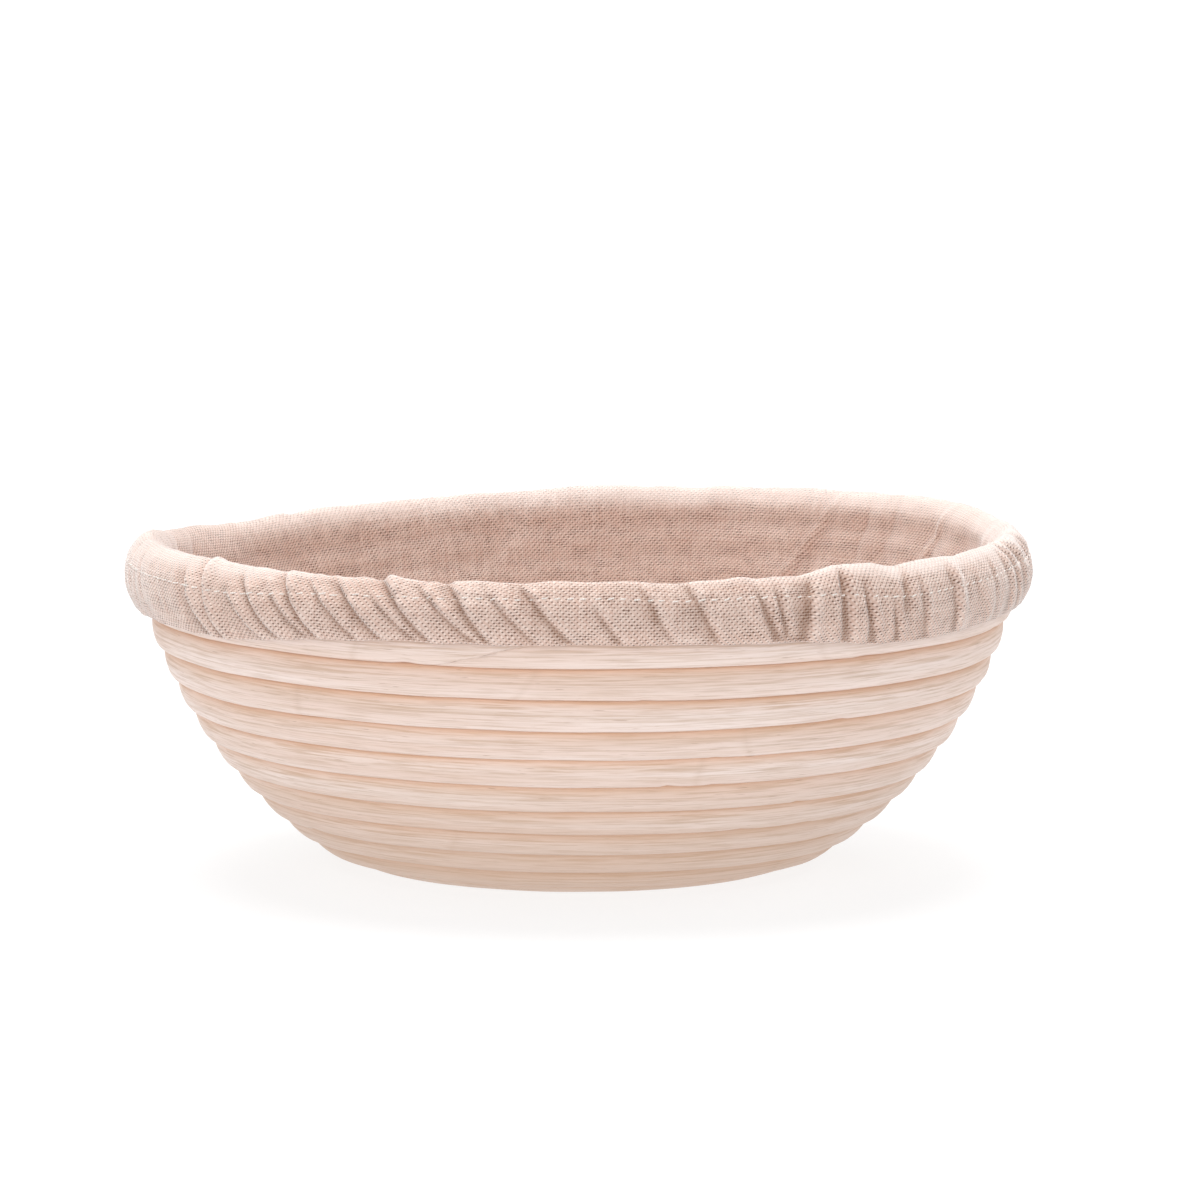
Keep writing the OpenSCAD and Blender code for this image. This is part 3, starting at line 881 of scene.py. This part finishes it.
def wall_sheet(material):
    """The liner's wall: a strip gathered to the base panel, turned over the rim, with its
    lower edge turned up inside and stitched down as a casing."""
    cols = 1200
    theta = np.arange(cols + 1) * 2 * np.pi / cols
    theta[-1] = 0.0
    top_a = arc_of_height(stitch_height(theta))
    # the fourth value of each ring is painted shade in a fold, or painted highlight on the crest
    rings = []  # each with its radius, height, place along the sheet and depth in a fold
    turn_over = CREST_A - 16
    for a in np.concatenate([np.linspace(0, turn_over, 46),
                             np.linspace(turn_over, CREST_A, 20)[1:]]):
        y = top_a - a
        r, z = wall_point(theta, np.full(cols + 1, a), y)
        depth = smooth(turn_over, CREST_A - 3, a) * shade(theta, y)
        rings.append((r, z + seam_lift(a), np.full(cols + 1, a), depth))
    for q in np.linspace(0, 1, 17)[1:]:
        a = CREST_A + q * (top_a - CREST_A)
        rings.append((*wall_point(theta, a, top_a - a), a, shade(theta, top_a - a)))
    casing = stitch_height(theta) - hem_height(theta)
    for q in np.concatenate([np.linspace(0, 0.9, 17)[1:], [0.94, 0.97, 0.99, 1.0]]):
        r, z = casing_point(theta, np.full(cols + 1, q))
        rings.append((r, z, top_a + q * casing, shade(theta, -q * casing)))
    # round the folded edge, and up inside
    r_edge, z_edge = rings[-1][:2]
    for k, turn in enumerate((30, 60, 90)):
        c, s = math.cos(math.radians(turn)), math.sin(math.radians(turn))
        rings.append((r_edge - 0.5 * (1 - c), z_edge - 0.45 * s,
                      top_a + casing + 0.35 * (k + 1), 0 * theta))
    for q in (0.02, 0.12, 0.25, 0.4, 0.55, 0.7, 0.85, 1.0):
        r, z = casing_inner(theta, np.full(cols + 1, q))
        rings.append((r, z, top_a + casing * (1 + q) + 1.4, 0 * theta))
    r, z, v, fold = np.array(rings).transpose(1, 0, 2)
    angle = np.broadcast_to(theta, r.shape)
    points = swept(r, angle, z)[:, :-1]
    faces, corners = grid_faces(len(rings), cols, True)
    # the weave drifts a little, so that it isn't ruled
    u = np.broadcast_to(np.arange(cols + 1) * 2 * np.pi / cols * RIM_R * MM, r.shape)
    skew = 0.5 * around(angle, v, 40, 1.0, 71) + 0.35 * around(angle, v, 14, 1.0, 72)
    skew_v = 0.6 * around(angle, v, 30, 1.5, 73)
    uv = np.stack([u + skew * MM, (v + skew_v) * MM], 2).reshape(-1, 2)[corners]
    obj = add_mesh("liner_wall_cloth", points.reshape(-1, 3), [faces[:, ::-1]], "cloth",
                   [uv[:, ::-1]], material, "liner")
    # the fold attribute carries the painted shade and highlight to the cloth's colour
    shown = obj.data.attributes.new("fold", "FLOAT", "POINT")
    shown.data.foreach_set("value", fold[:, :-1].ravel())
    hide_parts("liner_hem")
    thicken(obj, CLOTH_T)
    return obj


def thicken(obj, mm):
    """Give a sheet its thickness, half to each side."""
    solid = obj.modifiers.new("cloth_thickness", "SOLIDIFY")
    solid.thickness = mm * MM
    solid.offset = 0.0
    solid.use_rim = True


def base_panel(material):
    """The liner's round base panel, lying on the coil."""
    n = 97
    g = np.linspace(-1, 1, n)
    gu, gv = np.meshgrid(g, g, indexing="xy")
    x = gu * np.sqrt(1 - gv * gv / 2)
    y = gv * np.sqrt(1 - gu * gu / 2)
    s = np.hypot(x, y) * PANEL_TO
    theta = np.arctan2(y, x)
    r, z = profile(s, LINING)
    a = np.radians(slope(s))
    turn = (s - EYE_R) / PITCH + theta / (2 * np.pi)
    px, py = x * PANEL_TO, y * PANEL_TO
    d = 0.22 * np.cos(2 * np.pi * turn) * smooth(4, 16, s)
    d += 0.55 * noise(px / 26, py / 26, seed=81) + 0.22 * noise(px / 9, py / 9, seed=82)
    # a few soft creases: bearing in radians and distance from the centre
    for k, (angle, shift) in enumerate(((0.4, 9.0), (1.3, -17.0), (2.3, 22.0), (2.9, -31.0))):
        across = px * math.cos(angle) + py * math.sin(angle) - shift
        across = across + 3.5 * noise(px / 30, py / 30, seed=90 + k)
        faded = smooth(-0.2, 0.5, noise(px / 24, py / 24, seed=95 + k))
        d += 0.9 * np.exp(-(across / 1.5) ** 2) * faded
    d = np.maximum(d + 0.25, -0.2) * (1 - smooth(58, 64, s))
    r, z = r - d * np.sin(a), z + d * np.cos(a)
    points = swept(r, theta, z)
    faces, corners = grid_faces(n, n, False)
    uv = np.stack([s * np.cos(theta) * MM, s * np.sin(theta) * MM], 2).reshape(-1, 2)[corners]
    obj = add_mesh("liner_base_cloth", points.reshape(-1, 3), [faces], "cloth", [uv],
                   material, "liner")
    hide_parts("liner_bowl")
    thicken(obj, CLOTH_T)
    return obj


# ---------------------------------------------------------------- stitches and elastic
def stitch_row(name, centres, tangents, ups, long, thick, high, material, replaces=()):
    """A row of short stitches. Each is a thread that comes out, lies on the cloth and dives."""
    rings, sides = 9, 8
    u = np.linspace(-1, 1, rings)
    ring = np.linspace(0, 2 * np.pi, sides, endpoint=False)
    count = len(centres)
    out = np.cross(tangents, ups)
    rise = high * (1 - np.abs(u) ** 3.2) - 0.25 * np.abs(u) ** 6
    path = (centres[:, None] + tangents[:, None] * (u * long / 2)[None, :, None]
            + ups[:, None] * rise[None, :, None])
    size = thick / 2 * (1 - 0.35 * np.abs(u) ** 4)
    circle = (ups[:, None, None] * (np.cos(ring)[None, None, :, None] * 0.8)
              + out[:, None, None] * np.sin(ring)[None, None, :, None])
    points = path[:, :, None] + circle * size[None, :, None, None]
    faces, corners = grid_faces(rings, sides, True)
    first = np.arange(count) * rings * sides
    all_faces = (faces[None] + first[:, None, None]).reshape(-1, 4)
    uv_one = np.stack(np.meshgrid(u * long / 2 * MM, np.linspace(0, 1, sides + 1),
                                  indexing="ij"), 2)
    uv = np.tile(uv_one.reshape(-1, 2)[corners][None], (count, 1, 1, 1)).reshape(-1, 4, 2)
    ends = [np.arange(sides)[::-1], (rings - 1) * sides + np.arange(sides)]
    caps = np.concatenate([e[None] + first[:, None] for e in ends])
    quads = np.concatenate([caps[:, [0, 1, 2, 3]], caps[:, [0, 3, 4, 7]], caps[:, [4, 5, 6, 7]]])
    cap_uv = np.zeros((len(quads), 4, 2))
    obj = add_mesh(name, points.reshape(-1, 3), [all_faces, quads], "thread", [uv, cap_uv],
                   material, "liner")
    if replaces:
        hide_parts(*replaces)
    return obj


def hem_stitches(material):
    """The stitches that close the casing, a little uneven as sewn ones are."""
    rng = np.random.default_rng(5)
    theta = (np.arange(STITCHES) + 0.5) * 2 * np.pi / STITCHES + rng.normal(0, 0.0012, STITCHES)
    step = 0.0025

    def at(angle, y):
        r, z = wall_point(angle, arc_of_height(stitch_height(angle)) - y, y)
        return swept(r, angle, z)
    zero = np.zeros(STITCHES)
    tangent = unit(at(theta + step, zero) - at(theta - step, zero))
    slant = rng.normal(0.2, 0.07, STITCHES)
    up = np.stack([np.cos(theta), np.sin(theta), zero], 1)
    tangent = unit(tangent + np.cross(up, tangent) * slant[:, None])
    centre = at(theta, zero) + up * (CLOTH_T / 2)
    return stitch_row("hem_stitches", centre, tangent, up, 2.1, 0.42, 0.24, material,
                      ["hem_stitching"])


def base_stitches(material):
    """The stitches of the seam between the wall and the base panel."""
    count = 96
    rng = np.random.default_rng(6)
    theta = (np.arange(count) + 0.5) * 2 * np.pi / count + rng.normal(0, 0.002, count)
    a = 2.0

    def at(angle):
        top_a = arc_of_height(stitch_height(angle))
        r, z = wall_point(angle, np.full(len(angle), a), top_a - a)
        return swept(r, angle, z + seam_lift(a))
    tangent = unit(at(theta + 0.006) - at(theta - 0.006))
    lean = math.radians(float(slope(WALL_FROM)))
    up = np.stack([-math.sin(lean) * np.cos(theta), -math.sin(lean) * np.sin(theta),
                   np.full(count, math.cos(lean))], 1)
    centre = at(theta) + up * (CLOTH_T / 2)
    return stitch_row("base_seam_stitches", centre, tangent, up, 2.4, 0.42, 0.28, material)


def elastic_band(material):
    """The elastic in the casing: a thin woven band that follows the hem."""
    cols, high = 720, 9
    theta = np.arange(cols + 1) * 2 * np.pi / cols
    theta[-1] = 0.0
    rows = [lowered(theta, cane_reach(z) + 1.08 + 0.03 * np.sin(theta * 180), z)
            for z in (hem_height(theta) + 1.7 + 6.0 * k / (high - 1) for k in range(high))]
    r, z = np.array(rows).transpose(1, 0, 2)
    angle = np.broadcast_to(theta, r.shape)
    points = swept(r, angle, z)[:, :-1]
    faces, corners = grid_faces(high, cols, True)
    u = np.broadcast_to(np.arange(cols + 1) * 2 * np.pi / cols * RIM_R * MM, r.shape)
    uv = np.stack([u, z * MM], 2).reshape(-1, 2)[corners]
    obj = add_mesh("hem_elastic_band", points.reshape(-1, 3), [faces], "band", [uv],
                   material, "liner")
    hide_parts("hem_elastic")
    thicken(obj, 0.45)
    return obj


def build_liner():
    """The liner's two sheets, its stitches and its elastic."""
    cloth = cloth_material()
    thread = thread_material()
    wall = wall_sheet(cloth)
    panel = base_panel(cloth)
    hem = hem_stitches(thread)
    seam = base_stitches(thread)
    elastic = elastic_band(elastic_material())


def finish_brads():
    """The CAD's own brads, in a better steel."""
    steel = steel_material()
    for node in ("base_brads", "wall_brads", "splice_brads"):
        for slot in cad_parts[node].material_slots:
            slot.material = steel


# ---------------------------------------------------------------- floor, lights and camera
def build_floor():
    """A wide plain floor under the basket, in metres."""
    count, edge = 60, 20.0
    g = np.linspace(-edge, edge, count)
    x, y = np.meshgrid(g, g, indexing="xy")
    mesh = bpy.data.meshes.new("floor")
    faces, _ = grid_faces(count, count, False)
    points = np.stack([x, y, np.zeros_like(x)], 2).reshape(-1, 3)
    mesh.from_pydata(points.tolist(), [], faces.tolist())
    floor = bpy.data.objects.new("floor", mesh)
    bpy.context.collection.objects.link(floor)
    mesh.materials.append(floor_material())


def add_light(name, where, strength, spread, colour):
    """A wide, far softbox: a sun lamp seen spread degrees across, shining from where."""
    data = bpy.data.lights.new(name, "SUN")
    data.energy, data.color, data.angle = strength, colour, math.radians(spread)
    lamp = bpy.data.objects.new(name, data)
    lamp.location = where
    lamp.rotation_euler = (-Vector(where)).to_track_quat("-Z", "Y").to_euler()
    bpy.context.collection.objects.link(lamp)


WHITE, WARM = (1.0, 0.998, 0.995), (1.0, 0.985, 0.97)


def build_lights():
    """Soft light from all round, brightest from above."""
    world = bpy.data.worlds.new("studio")
    bpy.context.scene.world = world
    world.use_nodes = True
    sky = world.node_tree.nodes["Background"]
    sky.inputs["Color"].default_value = (*WHITE, 1)
    sky.inputs["Strength"].default_value = 0.36
    add_light("softbox_top", (-0.1, 0.35, 1.6), 3.2, 40, WHITE)
    add_light("softbox_front", (-0.3, -1.7, 0.5), 1.0, 40, WARM)
    add_light("softbox_left", (-1.6, 0.9, 0.8), 0.50, 34, WHITE)
    add_light("softbox_right", (1.6, 0.9, 0.8), 0.62, 34, WHITE)
    add_light("softbox_back", (0.0, 1.7, 1.3), 0.65, 34, WHITE)


# The camera: what it looks at, its tilt and its angle of view in degrees, how far away it is
LOOK_AT = (0.006, 0.0, 0.0726)
TILT, VIEW_ANGLE, AWAY, SENSOR = 7.75, 8.70, 2.2, 36


def build_camera():
    """The camera at the photograph's angle."""
    data = bpy.data.cameras.new("camera")
    camera = bpy.data.objects.new("camera", data)
    bpy.context.collection.objects.link(camera)
    target, tilt = Vector(LOOK_AT), math.radians(TILT)
    camera.location = target + Vector((0, -AWAY * math.cos(tilt), AWAY * math.sin(tilt)))
    camera.rotation_euler = (target - camera.location).to_track_quat("-Z", "Y").to_euler()
    data.sensor_width = SENSOR
    data.lens = SENSOR / (2 * math.tan(math.radians(VIEW_ANGLE / 2)))
    data.clip_end = 100
    bpy.context.scene.camera = camera
    bpy.context.scene.view_settings.view_transform = "Standard"


build_canes()
build_liner()
finish_brads()
build_floor()
build_lights()
build_camera()
